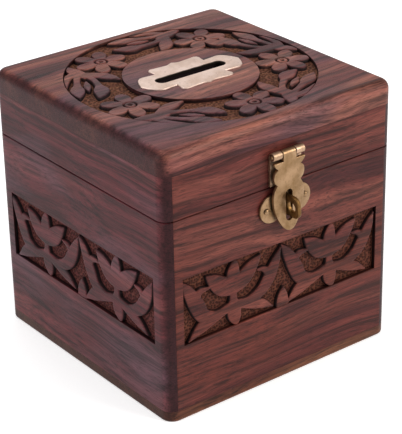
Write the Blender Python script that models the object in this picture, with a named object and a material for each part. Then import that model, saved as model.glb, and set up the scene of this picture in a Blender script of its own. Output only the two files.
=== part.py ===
"""Carved wooden money box: a hinged lid with a brass coin slot, closed by a brass hasp over a staple.

Metres, +Z up. The origin is the centre of the underside. The front, with the hasp, faces -Y.
"""

import math

import bmesh
import bpy
from mathutils import Matrix, Vector

# Overall sizes
WIDTH = 0.100  # left to right, along X
DEPTH = 0.100  # front to back, along Y
HEIGHT = 0.100  # underside to the top of the lid
LID_RISE = 0.0245  # seam to the top of the lid
GAP = 0.0003  # clearance between pieces that touch

# Boards
WALL = 0.008  # front, back and side boards
BASE = 0.004  # bottom board
TOP = 0.0085  # top board of the lid
LIP = 0.0037  # end grain of a side board left beside its rabbet
CORNER_R = 0.0045  # rounding of the upright edges
TOP_R = 0.0035  # rounding of the lid's top edges
EASE = 0.0008  # eased lower edge of the bottom board
ARC_STEPS = 4  # facets in a quarter round on the boards

# Carving
CARVE = 0.002  # depth of the carved ground
RELIEF_DROP = 0.0002  # tops of the leaves below the face
PANEL_DROP = 0.022  # seam to the top of the carved panels
PANEL_H = 0.025  # height of the carved panels
PANEL_END = 0.007  # end of a side of the box to the end of its panel
REPEAT = 0.043  # length of one repeat of the leaf pattern as drawn
RING_EDGE = 0.0055  # carved ring to the nearest side of the lid
RING_STEPS = 40  # facets of the ring's two edges
FLOWER_R = 0.0102  # petal tip to the middle of a flower
PETALS = 6
PETAL_WAIST = 0.42  # share of a petal's reach that is left between two petals
PETAL_BLUNT = 0.55  # the lower, the blunter the petals
FLOWER_ANGLES = (-89, -19, 47, 121, 196)  # places of the flowers round the ring, in degrees

# Coin slot
SLOT_L = 0.030
SLOT_W = 0.005
SLOT_EASE = 0.0005  # the wood stands back from the brass all round the slot
PLATE_X = 0.0215  # half length of the brass plate
PLATE_Y = 0.0116  # half width of the brass plate
PLATE_T = 0.001
PLATE_PROUD = 0.0004  # the plate stands this far above the wood
PLATE_MARGIN = 0.0025  # plate end to the inner edge of the carved ring

# Hasp and staple
HASP_X = 0.0001  # the hasp's middle, right of the box's
HASP_W = 0.0135  # width at the shoulders and over the knuckles
HASP_RISE = 0.0118  # seam to the hasp's pin
HASP_L = 0.0279  # pin to the tip of the hasp plate
HASP_T = 0.001
SHEET = 0.0008  # thickness of the fixed leaf and the staple plate
LEAF_L = 0.011  # pin to the lower end of the fixed leaf
KNUCKLE_R = 0.0015
HASP_PIN_R = 0.0006
PIN_CLEAR = 0.0003  # pin to knuckle bore
HASP_MID = 0.0055  # length of the middle knuckle
HASP_SLOT_TOP = 0.0129  # pin to the top of the slot
HASP_SLOT_L = 0.0116
TANG = 0.0017  # overlap of the middle knuckle's tang and the plate
STAPLE_DROP = 0.007  # seam to the middle of the staple
STAPLE_TILT = math.radians(5.5)  # it was nailed on slightly out of level
STAPLE_LOBE_R = 0.0051
STAPLE_LOBE_X = 0.006  # staple's middle to a lobe's middle
EYE_T = 0.0015  # thickness of the staple eye
EYE_H = 0.008  # height of the staple eye
EYE_OUT = 0.0084  # wood to the outer end of the eye
EYE_ROOT = 0.003  # length of the eye's root in the wood
EYE_SIDE = 0.00075  # eye to the side of the hasp's slot
EYE_HOLE_R = 0.0019  # hole for the padlock's shackle
EYE_CORNER_R = 0.0026  # rounding of the eye's outer corners
EYE_HOLE_IN = 0.0036  # outer end of the eye to the middle of that hole
NAIL_R = 0.0005
NAIL_HEAD_R = 0.0011
NAIL_HEAD_H = 0.0006
NAIL_SHOULDER_R = 0.001  # where a nail head's dome begins
NAIL_CROWN_R = 0.0005  # flat top of the dome
NAIL_TIP = 0.002  # a nail stops this far short of the board's inner face
STAPLE_NAIL_X = 0.0085
LEAF_NAIL_X = 0.0042
LEAF_NAIL_DROP = 0.0068  # hasp pin to the nails of the fixed leaf

# Butt hinges at the back
HINGE_INSET = 0.023  # side of the box to a hinge's middle
HINGE_L = 0.020
HINGE_T = 0.0008
HINGE_PIN_R = 0.0007
HINGE_MARGIN = 0.001  # wood left between a leaf and the inner face of its board
HINGE_MID = 0.0068  # length of the middle knuckle
SCREW_X = 0.0058  # hinge's middle to a screw
SCREW_L = 0.006
SCREW_R = 0.0008
SCREW_HEAD_R = 0.0014

# Panel pins under the bottom board
BRAD_R = 0.0006
BRAD_HEAD_R = 0.001
BRAD_HEAD_H = 0.0006
BRAD_L = 0.011
BRAD_INSET = 0.018  # corner of the box to the nearest pin

ROUND = 12  # facets of small round pieces

# Worked out from the sizes above
SEAM = HEIGHT - LID_RISE
HALF_GAP = GAP / 2
RAIL_TOP = HEIGHT - TOP - GAP
PANEL_MID = SEAM - PANEL_DROP - PANEL_H / 2
RING_OUT = min(WIDTH, DEPTH) / 2 - RING_EDGE
RING_IN = PLATE_X + PLATE_MARGIN
HASP_Y = -DEPTH / 2 - GAP - KNUCKLE_R
HASP_Z = SEAM + HASP_RISE
STAPLE_Z = SEAM - STAPLE_DROP
HINGE_Y = DEPTH / 2 + GAP + KNUCKLE_R

# Leaf pattern, one repeat: each stroke is a list of (along, up, half width) in the length of a
# repeat and the height of a panel as drawn, in millimetres from the repeat's middle.
LEAF_STROKES = {
    "bud": [(0.0, 3.5, 1.7), (-0.2, 6.8, 2.4), (0.6, 10.9, 0.3)],
    "left_petal": [(-0.3, 1.6, 2.2), (-4.5, 3.8, 2.8), (-7.6, 6.5, 1.6), (-10.2, 8.5, 0.3)],
    "right_petal": [(0.6, 1.8, 2.2), (4.0, 3.9, 2.9), (7.0, 6.4, 1.8), (10.6, 8.2, 0.3)],
    "stem": [(-0.2, 2.0, 1.9), (-0.2, -1.2, 1.5), (-0.2, -4.8, 2.2)],
    "low_leaf": [(-0.2, -4.0, 2.1), (-0.1, -8.0, 2.3), (0.4, -12.0, 0.3)],
    "left_vine": [
        (-1.6, -4.5, 1.2), (-7.4, -6.4, 1.6), (-12.9, -4.4, 2.2), (-15.7, 0.5, 2.6),
        (-19.3, 7.2, 2.0), (-22.0, 11.2, 0.3),
    ],
    "left_curl": [(-16.0, 3.0, 1.7), (-14.2, 5.3, 1.3), (-9.9, 5.5, 0.3)],
    "right_vine": [
        (1.4, -4.6, 1.2), (6.7, -5.6, 1.4), (12.0, -3.4, 2.0), (15.4, 0.4, 2.4),
        (18.0, 5.0, 1.8), (19.9, 8.2, 0.3),
    ],
    "right_curl": [(15.2, 2.6, 1.5), (13.2, 4.6, 1.0), (10.3, 5.3, 0.3)],
    "left_low": [(-1.4, -5.2, 1.0), (-8.0, -6.9, 1.4), (-13.5, -7.9, 2.1), (-19.2, -11.7, 0.3)],
    "right_low": [(1.4, -5.2, 1.0), (6.8, -6.9, 1.5), (11.8, -8.2, 1.9), (17.1, -11.0, 0.3)],
}
FILLER = [(0.0, -12.8, 2.9), (0.0, -9.0, 2.3), (0.3, -5.4, 0.4)]  # between two repeats
DRAWN_HEIGHT = 25.0  # height of the panel that the pattern is drawn in, in millimetres

# Ring pattern: strokes of the sprig that follows each flower, as (degrees past the flower,
# share of the ring's width from its inner edge, half width in millimetres).
SPRIG_STROKES = {
    "trunk": [(13, 0.95, 0.7), (18.5, 0.78, 2.1), (23, 0.62, 1.5)],
    "outer_stem": [(20, 0.76, 1.2), (30, 0.76, 0.8), (38, 0.80, 0.8)],
    "outer_bud": [(36.5, 0.79, 0.8), (42.5, 0.84, 2.1), (48.5, 0.90, 0.5)],
    "inner_stem": [(22, 0.62, 1.2), (31, 0.46, 0.8), (42, 0.44, 0.8)],
    "inner_bud": [(40.5, 0.43, 0.8), (47.5, 0.49, 2.5), (53.5, 0.60, 0.6)],
    "inner_leaf": [(21, 0.62, 1.4), (22.5, 0.34, 2.2), (29, 0.08, 0.5)],
    "outer_leaf": [(20, 0.82, 1.2), (27, 0.93, 1.2), (34, 0.97, 0.4)],
}

MM = 0.001
SIDES = {"left": -1, "right": 1}


# ---- small helpers ----


def material(name, colour, roughness, metallic=0.0):
    made = bpy.data.materials.new(name)
    made.use_nodes = True
    shader = made.node_tree.nodes["Principled BSDF"]
    shader.inputs["Base Color"].default_value = (*colour, 1.0)
    shader.inputs["Roughness"].default_value = roughness
    shader.inputs["Metallic"].default_value = metallic
    return made


def piece(name, bm, finish):
    """A named object from a bmesh, with its own copy of a finish."""
    bmesh.ops.recalc_face_normals(bm, faces=bm.faces)
    mesh = bpy.data.meshes.new(name)
    bm.to_mesh(mesh)
    bm.free()
    made = bpy.data.objects.new(name, mesh)
    bpy.context.scene.collection.objects.link(made)
    if finish:
        own = finish.copy()
        own.name = name
        mesh.materials.append(own)
    return made


def helper(bm):
    """A shape that only cuts or adds to another."""
    made = piece("helper", bm, None)
    made.hide_render = True
    made.display_type = "WIRE"
    return made


def combine(target, bm, operation, solver="EXACT"):
    step = target.modifiers.new(operation.lower(), "BOOLEAN")
    step.operation = operation
    step.solver = solver
    step.object = helper(bm)


def cut(target, bm):
    combine(target, bm, "DIFFERENCE")


def add(target, *shapes):
    for bm in shapes:
        combine(target, bm, "UNION")


def carve_out(target, bm):
    """As cut, for the carved boards, whose many leaves the exact solver has no memory for."""
    combine(target, bm, "DIFFERENCE", "MANIFOLD")


def leave_standing(target, shapes):
    """Adds relief shapes to a carved board one by one."""
    for bm in shapes:
        combine(target, bm, "UNION", "MANIFOLD")


def moved(bm, matrix):
    bmesh.ops.transform(bm, matrix=matrix, verts=bm.verts)
    return bm


def box(low, high):
    bm = bmesh.new()
    bmesh.ops.create_cube(bm, size=1.0)
    size = Vector(high) - Vector(low)
    centre = (Vector(high) + Vector(low)) / 2
    return moved(bm, Matrix.Translation(centre) @ Matrix.Diagonal((*size, 1.0)))


def prism(outline, low, high):
    """A flat outline in X and Y, raised from one height to another."""
    bm = bmesh.new()
    base = bm.faces.new([bm.verts.new((x, y, low)) for x, y in outline])
    raised = bmesh.ops.extrude_face_region(bm, geom=[base])["geom"]
    tops = [item for item in raised if isinstance(item, bmesh.types.BMVert)]
    bmesh.ops.translate(bm, vec=(0, 0, high - low), verts=tops)
    bmesh.ops.recalc_face_normals(bm, faces=bm.faces)
    return bm


def cone(start, end, r_start, r_end, facets=ROUND):
    """A round bar or cone from one point to another."""
    start, end = Vector(start), Vector(end)
    bm = bmesh.new()
    bmesh.ops.create_cone(
        bm, cap_ends=True, segments=facets, radius1=r_start, radius2=r_end, depth=(end - start).length
    )
    turn = (end - start).to_track_quat("Z", "Y").to_matrix().to_4x4()
    return moved(bm, Matrix.Translation((start + end) / 2) @ turn)


def bar(start, end, radius, facets=ROUND):
    return cone(start, end, radius, radius, facets)


def arc(centre, radius, start, end, steps):
    """Points along an arc, both ends included, angles in degrees."""
    angles = [math.radians(start + (end - start) * i / steps) for i in range(steps + 1)]
    return [(centre[0] + radius * math.cos(a), centre[1] + radius * math.sin(a)) for a in angles]


def rounded_rectangle(half_x, half_y, radius, steps=ARC_STEPS):
    x, y = half_x - radius, half_y - radius
    corners = (((x, y), 0), ((-x, y), 90), ((-x, -y), 180), ((x, -y), 270))
    return [point for centre, turn in corners for point in arc(centre, radius, turn, turn + 90, steps)]


def stadium(length, width, steps=6):
    """A slot with round ends, long in X."""
    reach = (length - width) / 2
    right = arc((reach, 0), width / 2, -90, 90, steps)
    left = arc((-reach, 0), width / 2, 90, 270, steps)
    return right + left


def spread(outline, distance):
    """A closed outline moved outwards by a distance, corners mitred; it runs anticlockwise."""
    made = []
    for i, point in enumerate(outline):
        before, here, after = Vector(outline[i - 1]), Vector(point), Vector(outline[(i + 1) % len(outline)])
        way_in, way_out = (here - before).normalized(), (after - here).normalized()
        normal_in = Vector((way_in.y, -way_in.x))
        normal_out = Vector((way_out.y, -way_out.x))
        mitre = (normal_in + normal_out).normalized()
        made.append(tuple(here + mitre * distance / max(mitre.dot(normal_in), 0.5)))
    return made


# ---- carving ----


def stroke_outline(knots, per_span=2):
    """The closed outline of a stroke whose middle line and half width pass smoothly through knots."""
    ends = [[2 * a - b for a, b in zip(*pair)] for pair in (knots[:2], knots[:-3:-1])]
    path = [ends[0], *knots, ends[1]]
    middle = []
    for p, a, b, q in zip(path, path[1:], path[2:], path[3:]):
        for i in range(per_span):
            t = i / per_span
            middle.append(
                [
                    0.5 * (2 * a[k] + (b[k] - p[k]) * t + (2 * p[k] - 5 * a[k] + 4 * b[k] - q[k]) * t**2
                           + (3 * a[k] - p[k] - 3 * b[k] + q[k]) * t**3)
                    for k in range(3)
                ]
            )
    middle.append(list(knots[-1]))
    left, right = [], []
    for i, (x, y, half) in enumerate(middle):
        before, after = middle[max(i - 1, 0)], middle[min(i + 1, len(middle) - 1)]
        way = Vector((after[0] - before[0], after[1] - before[1])).normalized()
        left.append((x - way.y * half, y + way.x * half))
        right.append((x + way.y * half, y - way.x * half))
    return right + left[::-1]


def leaf_panel(length):
    """Relief of one carved panel, drawn in X and Y with its middle at the origin, raised along Z."""
    repeats = max(1, round(length / REPEAT))
    pitch = length / repeats
    across = pitch / (REPEAT / MM)
    up = PANEL_H / DRAWN_HEIGHT
    shapes = []
    for n in range(repeats):
        middle = (n - (repeats - 1) / 2) * pitch
        strokes = list(LEAF_STROKES.values())
        placed = [(strokes, middle)]
        if n:
            placed.append(([FILLER], middle - pitch / 2))
        for group, centre in placed:
            for knots in group:
                outline = [(centre + x * across, y * up) for x, y in stroke_outline(knots)]
                shapes.append(prism(outline, -CARVE - GAP, -RELIEF_DROP))
    return shapes


def flower(facets_per_petal=6):
    """A flower's outline round the origin."""
    count = PETALS * facets_per_petal
    outline = []
    for i in range(count):
        angle = 2 * math.pi * i / count
        swell = abs(math.cos(PETALS / 2 * angle)) ** PETAL_BLUNT
        reach = FLOWER_R * (PETAL_WAIST + (1 - PETAL_WAIST) * swell)
        outline.append((reach * math.cos(angle), reach * math.sin(angle)))
    return outline


def ring_relief():
    """Flowers and sprigs of the lid's carved ring, with the lid's face at height 0."""
    width = RING_OUT - RING_IN
    middle = RING_IN + width / 2
    size = (width - GAP) / (2 * FLOWER_R)
    shapes = []
    for angle in FLOWER_ANGLES:
        a = math.radians(angle)
        outline = [
            (middle * math.cos(a) + size * (x * math.cos(a) - y * math.sin(a)),
             middle * math.sin(a) + size * (x * math.sin(a) + y * math.cos(a)))
            for x, y in flower()
        ]
        shapes.append(prism(outline, -CARVE - GAP, -RELIEF_DROP))
        for knots in SPRIG_STROKES.values():
            placed = []
            for turn, share, half in knots:
                way = math.radians(angle + turn)
                reach = RING_IN + width * share
                placed.append((reach * math.cos(way), reach * math.sin(way), half * MM))
            shapes.append(prism(stroke_outline(placed), -CARVE - GAP, -RELIEF_DROP))
    return shapes


# ---- boards ----


def plain_board(half_length, face):
    """Plan of a front or back board that sits in the side boards' rabbets; its face looks to -Y."""
    end = half_length - LIP - HALF_GAP
    centre_x, centre_y = half_length - CORNER_R, -face + CORNER_R
    lean = math.degrees(math.acos((end - centre_x) / CORNER_R))
    right = arc((centre_x, centre_y), CORNER_R, 270, 360 - lean, ARC_STEPS)
    left = [(-x, y) for x, y in reversed(right)]
    inner = -face + WALL
    return left + right + [(end, inner), (-end, inner)]


def lipped_board(half_length, face):
    """Plan of a side board with a rabbet at each end; its face looks to -Y."""
    lip = -face + LIP - HALF_GAP
    centre_x, centre_y = half_length - CORNER_R, -face + CORNER_R
    lean = math.degrees(math.asin((lip - centre_y) / CORNER_R))
    right = arc((centre_x, centre_y), CORNER_R, 270, 360 + lean, ARC_STEPS)
    left = [(-x, y) for x, y in reversed(right)]
    shoulder, inner = half_length - WALL - GAP, -face + WALL
    return left + right + [(shoulder, lip), (shoulder, inner), (-shoulder, inner), (-shoulder, lip)]


def frame_boards(prefix, low, high, finishes, carved):
    """Four boards of the body or the lid, as {side: object}."""
    made = {}
    sides = (
        ("front", 0, WIDTH, DEPTH, plain_board),
        ("right", 90, DEPTH, WIDTH, lipped_board),
        ("back", 180, WIDTH, DEPTH, plain_board),
        ("left", -90, DEPTH, WIDTH, lipped_board),
    )
    for side, turn, length, across, plan in sides:
        to_side = Matrix.Rotation(math.radians(turn), 4, "Z")
        board = prism(plan(length / 2, across / 2), low, high)
        made[side] = piece(prefix.format(side), moved(board, to_side), finishes[side])
        if not carved:
            continue
        half_panel = length / 2 - PANEL_END
        face = -across / 2
        low_corner = (-half_panel, face - GAP, PANEL_MID - PANEL_H / 2)
        pocket = box(low_corner, (half_panel, face + CARVE, PANEL_MID + PANEL_H / 2))
        carve_out(made[side], moved(pocket, to_side))
        to_face = Matrix.Translation((0, face, PANEL_MID)) @ Matrix.Rotation(math.pi / 2, 4, "X")
        leave_standing(made[side], [moved(leaf, to_side @ to_face) for leaf in leaf_panel(2 * half_panel)])
    return made


def base_board(finish):
    board = prism(rounded_rectangle(WIDTH / 2, DEPTH / 2, CORNER_R), 0, BASE)
    lower = [edge for edge in board.edges if all(vert.co.z < BASE / 2 for vert in edge.verts)]
    bmesh.ops.bevel(board, geom=lower, offset=EASE, segments=1, profile=0.5, affect="EDGES", material=-1)
    return piece("base_board", board, finish)


def plate_outline():
    """The coin plate's scrolled outline, running anticlockwise."""
    quarter = [
        (1.0, 0.0), (0.95, 0.24), (0.88, 0.46), (0.82, 0.55), (0.76, 0.58), (0.62, 0.55), (0.49, 0.54),
        (0.5, 0.68), (0.515, 0.80), (0.50, 0.90), (0.45, 0.955), (0.30, 0.925), (0.12, 0.90), (0.06, 0.93),
        (0.0, 1.0),
    ]
    right_half = [(x, -y) for x, y in reversed(quarter[:-1])][:-1] + quarter
    left_half = [(-x, -y) for x, y in right_half[1:-1]]
    lowest = [(0.0, -1.0)]
    return [(x * PLATE_X, y * PLATE_Y) for x, y in lowest + right_half + left_half]


def lid_top(finish):
    low = HEIGHT - TOP
    board = prism(rounded_rectangle(WIDTH / 2, DEPTH / 2, CORNER_R), low, HEIGHT)
    upper = [edge for edge in board.edges if all(vert.co.z > low + TOP / 2 for vert in edge.verts)]
    bmesh.ops.bevel(board, geom=upper, offset=TOP_R, segments=4, profile=0.5, affect="EDGES", material=-1)
    top = piece("lid_top_board", board, finish)

    to_top = Matrix.Translation((0, 0, HEIGHT))
    outer = bar((0, 0, HEIGHT - CARVE), (0, 0, HEIGHT + GAP), RING_OUT, RING_STEPS)
    carve_out(top, outer)
    disc = bar((0, 0, HEIGHT - CARVE - GAP), (0, 0, HEIGHT), RING_IN, RING_STEPS)
    leave_standing(top, [disc] + [moved(shape, to_top) for shape in ring_relief()])

    seat = PLATE_T - PLATE_PROUD + GAP
    cut(top, moved(prism(spread(plate_outline(), GAP), -seat, GAP), to_top))
    hole = stadium(SLOT_L + 2 * SLOT_EASE, SLOT_W + 2 * SLOT_EASE)
    cut(top, moved(prism(hole, -TOP - GAP, GAP), to_top))
    return top


def coin_plate(finish):
    low = HEIGHT + PLATE_PROUD - PLATE_T
    plate = piece("coin_slot_plate", prism(plate_outline(), low, low + PLATE_T), finish)
    cut(plate, prism(stadium(SLOT_L, SLOT_W), low - GAP, low + PLATE_T + GAP))
    return plate


# ---- hasp and staple ----


def hasp_outline():
    """The hasp plate seen from the front, hanging from a pin at the origin, anticlockwise."""
    shoulder = HASP_W / 2
    drop = [  # share of the length below the pin, share of the shoulder's half width
        (0.075, 1.0), (0.10, 1.0), (0.14, 0.86), (0.18, 0.74), (0.22, 0.80), (0.26, 0.92), (0.30, 0.96),
        (0.335, 0.90), (0.365, 0.78), (0.38, 0.75), (0.42, 0.84), (0.48, 0.94), (0.56, 0.98), (0.66, 0.94),
        (0.77, 0.80), (0.87, 0.62), (0.94, 0.42), (0.985, 0.20),
    ]
    right = [(shoulder * half, -HASP_L * share) for share, half in drop]
    left = [(-x, z) for x, z in right]
    return left + [(0, -HASP_L)] + right[::-1]


def upright(bm):
    """Turns a shape drawn in X and Y to stand in X and Z, raised towards -Y."""
    return moved(bm, Matrix.Rotation(math.pi / 2, 4, "X"))


def knuckles(spans, centre, radius, tang_low, tang_high):
    """Barrels along X over each span, each with a tang that ties it to its leaf."""
    shapes = []
    for low, high in spans:
        shapes.append(bar((low, *centre), (high, *centre), radius))
        shapes.append(box((low, *tang_low), (high, *tang_high)))
    return shapes


def hasp_spans():
    """Knuckle spans of the fixed leaf and of the hasp plate."""
    inner, outer = HASP_MID / 2, HASP_W / 2
    fixed = [(HASP_X - outer, HASP_X - inner - GAP), (HASP_X + inner + GAP, HASP_X + outer)]
    return fixed, [(HASP_X - inner, HASP_X + inner)]


def hasp(finish):
    centre = (HASP_Y, HASP_Z)
    fixed, swinging = hasp_spans()
    below = HASP_Z - KNUCKLE_R - GAP
    bore = HASP_PIN_R + PIN_CLEAR
    low, high = HASP_X - HASP_W / 2, HASP_X + HASP_W / 2

    back = HASP_Y + KNUCKLE_R
    leaf = piece("hasp_leaf", box((low, back - SHEET, HASP_Z - LEAF_L), (high, back, below)), finish)
    add(leaf, *knuckles(fixed, centre, KNUCKLE_R, (back - SHEET, below - GAP), (back, HASP_Z)))
    cut(leaf, bar((low - GAP, *centre), (high + GAP, *centre), bore))
    nail_z = HASP_Z - LEAF_NAIL_DROP
    for way in SIDES.values():
        x = HASP_X + way * LEAF_NAIL_X
        cut(leaf, bar((x, back - SHEET - GAP, nail_z), (x, back + GAP, nail_z), NAIL_R + GAP, 8))

    front = HASP_Y - KNUCKLE_R
    drawn = upright(prism(hasp_outline(), -HASP_T, 0))
    place = Matrix.Translation((HASP_X, front, HASP_Z))
    plate = piece("hasp_plate", moved(drawn, place), finish)
    tang_low = (front, below - TANG)
    add(plate, *knuckles(swinging, centre, KNUCKLE_R, tang_low, (front + HASP_T, HASP_Z)))
    cut(plate, bar((low, *centre), (high, *centre), bore))
    slot = prism(stadium(HASP_SLOT_L, EYE_T + 2 * EYE_SIDE), -HASP_T - GAP, GAP)
    slot = upright(moved(slot, Matrix.Rotation(math.pi / 2, 4, "Z")))
    slot_z = HASP_Z - HASP_SLOT_TOP - HASP_SLOT_L / 2
    cut(plate, moved(slot, Matrix.Translation((HASP_X, front, slot_z))))

    pin = bar((low - GAP, *centre), (high + GAP, *centre), HASP_PIN_R)
    piece("hasp_pin", pin, finish)


def domed_nail(x, z, seat, tip):
    """A nail driven along +Y, its domed head bearing on a sheet whose face is at seat."""
    shank = bar((x, seat - 2 * GAP, z), (x, tip, z), NAIL_R, 8)
    middle = seat - GAP - NAIL_HEAD_H / 2
    rim = cone((x, seat - GAP, z), (x, middle, z), NAIL_HEAD_R, NAIL_SHOULDER_R, 10)
    peak = seat - GAP - NAIL_HEAD_H
    crown = cone((x, middle + GAP / 3, z), (x, peak, z), NAIL_SHOULDER_R, NAIL_CROWN_R, 10)
    return shank, rim, crown


def nails(prefix, places, seat, finish, board):
    """A nail at each named place, and its hole in a board."""
    tip = -DEPTH / 2 + WALL - NAIL_TIP
    for side, (x, z) in places.items():
        shank, *head = domed_nail(x, z, seat, tip)
        add(piece(f"{prefix}_{side}", shank, finish), *head)
        cut(board, bar((x, -DEPTH / 2 - GAP, z), (x, tip + GAP, z), NAIL_R + GAP, 8))


def staple(finish, front_board):
    """Plate with two lobes and the eye that stands out of it through the hasp."""
    tilt = Matrix.Rotation(-STAPLE_TILT, 4, "Y")
    place = Matrix.Translation((HASP_X, -DEPTH / 2 - GAP, STAPLE_Z)) @ tilt
    lobes = arc((STAPLE_LOBE_X, 0), STAPLE_LOBE_R, -65, 65, 8)
    lobes += arc((-STAPLE_LOBE_X, 0), STAPLE_LOBE_R, 115, 245, 8)
    plate = piece("staple_plate", moved(upright(prism(lobes, 0, SHEET)), place), finish)

    half_t, half_h = EYE_T / 2 + GAP, EYE_H / 2 + GAP
    root = box((-half_t, -SHEET - GAP, -half_h), (half_t, EYE_ROOT + 2 * GAP, half_h))
    cut(plate, moved(root.copy(), place))
    cut(front_board, moved(root, place))

    reach = EYE_OUT - GAP
    profile = arc((-reach + EYE_CORNER_R, EYE_H / 2 - EYE_CORNER_R), EYE_CORNER_R, 90, 180, 4)
    profile += arc((-reach + EYE_CORNER_R, -EYE_H / 2 + EYE_CORNER_R), EYE_CORNER_R, 180, 270, 4)
    profile += [(EYE_ROOT, -EYE_H / 2), (EYE_ROOT, EYE_H / 2)]
    stand = Matrix(((0, 0, 1, 0), (1, 0, 0, 0), (0, 1, 0, 0), (0, 0, 0, 1)))
    eye = piece("staple_eye", moved(prism(profile, -EYE_T / 2, EYE_T / 2), place @ stand), finish)
    hole_y = -reach + EYE_HOLE_IN
    cut(eye, moved(bar((-EYE_T, hole_y, 0), (EYE_T, hole_y, 0), EYE_HOLE_R, 16), place))

    seat = -DEPTH / 2 - GAP - SHEET
    places = {}
    for side, way in SIDES.items():
        spot = place @ Vector((way * STAPLE_NAIL_X, 0, 0))
        places[side] = (spot.x, spot.z)
        cut(plate, bar((spot.x, seat - GAP, spot.z), (spot.x, -DEPTH / 2, spot.z), NAIL_R + GAP, 8))
    nails("staple_nail", places, seat, finish, front_board)


# ---- hinges ----


def screw(x, y, seat, way):
    """A countersunk screw whose head is flush with a face at height seat, driven along way."""
    sink = HINGE_T - GAP
    head = cone((x, y, seat), (x, y, seat + way * sink), SCREW_HEAD_R, SCREW_R, 10)
    shank = bar((x, y, seat + way * (sink - GAP)), (x, y, seat + way * SCREW_L), SCREW_R, 10)
    return head, shank


def butt_hinge(name, middle, back_body, back_lid, finish):
    """One hinge: a leaf in the rim of the body, a leaf in the rim of the lid, a pin and four screws."""
    centre = (HINGE_Y, SEAM)
    low, high = middle - HINGE_L / 2, middle + HINGE_L / 2
    inner = HINGE_MID / 2
    body_spans = [(low, middle - inner - GAP), (middle + inner + GAP, high)]
    lid_spans = [(middle - inner, middle + inner)]
    bore = HINGE_PIN_R + PIN_CLEAR
    near, far = HINGE_Y - KNUCKLE_R - GAP, DEPTH / 2 - WALL + HINGE_MARGIN
    screw_y = (far + DEPTH / 2) / 2
    sets = (
        ("body", -1, body_spans, back_body),
        ("lid", 1, lid_spans, back_lid),
    )
    for part, way, spans, board in sets:
        face = SEAM + way * HALF_GAP
        depth = face + way * HINGE_T
        bottom, top = sorted((face, depth))
        leaf = piece(f"{name}_{part}_leaf", box((low, far, bottom), (high, near, top)), finish)
        add(leaf, *knuckles(spans, centre, KNUCKLE_R, (near - GAP, bottom), (HINGE_Y, top)))
        cut(leaf, bar((low - GAP, *centre), (high + GAP, *centre), bore))

        mortise_low, mortise_high = sorted((SEAM, depth + way * GAP))
        cut(board, box((low - GAP, far - GAP, mortise_low), (high + GAP, DEPTH / 2 + GAP, mortise_high)))
        for side, off in SIDES.items():
            x = middle + off * SCREW_X
            head, shank = screw(x, screw_y, face, way)
            add(piece(f"{name}_{part}_screw_{side}", head, finish), shank)
            sunk = cone(
                (x, screw_y, face - way * GAP), (x, screw_y, depth + way * GAP),
                SCREW_HEAD_R + 2 * GAP, SCREW_R + GAP, 10,
            )
            cut(leaf, sunk)
            pilot = bar((x, screw_y, face), (x, screw_y, face + way * (SCREW_L + GAP)), SCREW_R + GAP, 10)
            cut(board, pilot)
    piece(f"{name}_pin", bar((low - GAP, *centre), (high + GAP, *centre), HINGE_PIN_R), finish)


def base_pins(finish, base, boards):
    """Panel pins up through the bottom board into the middle of each wall."""
    x_in, y_in = WIDTH / 2 - WALL / 2, DEPTH / 2 - WALL / 2
    along_x, along_y = WIDTH / 2 - BRAD_INSET, DEPTH / 2 - BRAD_INSET
    for end, way in SIDES.items():
        places = {
            "front": (way * along_x, -y_in),
            "back": (way * along_x, y_in),
            "left": (-x_in, way * along_y),
            "right": (x_in, way * along_y),
        }
        for side, (x, y) in places.items():
            neck = GAP + BRAD_HEAD_H
            head = bar((x, y, GAP), (x, y, neck), BRAD_HEAD_R, 8)
            shank = bar((x, y, neck - BRAD_HEAD_H / 2), (x, y, BRAD_L), BRAD_R, 8)
            add(piece(f"base_pin_{side}_{end}", head, finish), shank)
            cut(base, bar((x, y, -GAP), (x, y, neck + GAP), BRAD_HEAD_R + GAP, 8))
            cut(base, bar((x, y, 0), (x, y, BASE + GAP), BRAD_R + GAP, 8))
            cut(boards[side], bar((x, y, BASE), (x, y, BRAD_L + GAP), BRAD_R + GAP, 8))


def build():
    for old in list(bpy.data.objects):
        bpy.data.objects.remove(old)

    warm = material("front_rosewood", (0.155, 0.062, 0.045), 0.45)
    dark = material("side_rosewood", (0.110, 0.046, 0.042), 0.48)
    pale = material("top_rosewood", (0.200, 0.095, 0.080), 0.45)
    brass = material("brass", (0.72, 0.55, 0.30), 0.32, 1.0)
    steel = material("steel", (0.45, 0.44, 0.42), 0.40, 1.0)
    finishes = {"front": warm, "back": warm, "left": dark, "right": dark}

    base = base_board(dark)
    walls = frame_boards("{}_wall", BASE + GAP, SEAM - HALF_GAP, finishes, carved=True)
    rails = frame_boards("lid_{}_rail", SEAM + HALF_GAP, RAIL_TOP, finishes, carved=False)
    lid_top(pale)
    coin_plate(brass)

    hasp(brass)
    staple(brass, walls["front"])
    leaf_nails = {side: (HASP_X + way * LEAF_NAIL_X, HASP_Z - LEAF_NAIL_DROP) for side, way in SIDES.items()}
    nails("hasp_leaf_nail", leaf_nails, HASP_Y + KNUCKLE_R - SHEET, brass, rails["front"])

    hinge_x = WIDTH / 2 - HINGE_INSET
    for side, way in SIDES.items():
        butt_hinge(f"hinge_{side}", way * hinge_x, walls["back"], rails["back"], brass)
    base_pins(steel, base, walls)


build()
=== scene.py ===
"""Looks of a small rosewood money box: carved leaf panels, a flower ring on the lid, brass fittings."""

import math

import bmesh
import bpy
import numpy as np
from mathutils import Matrix, Vector


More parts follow.
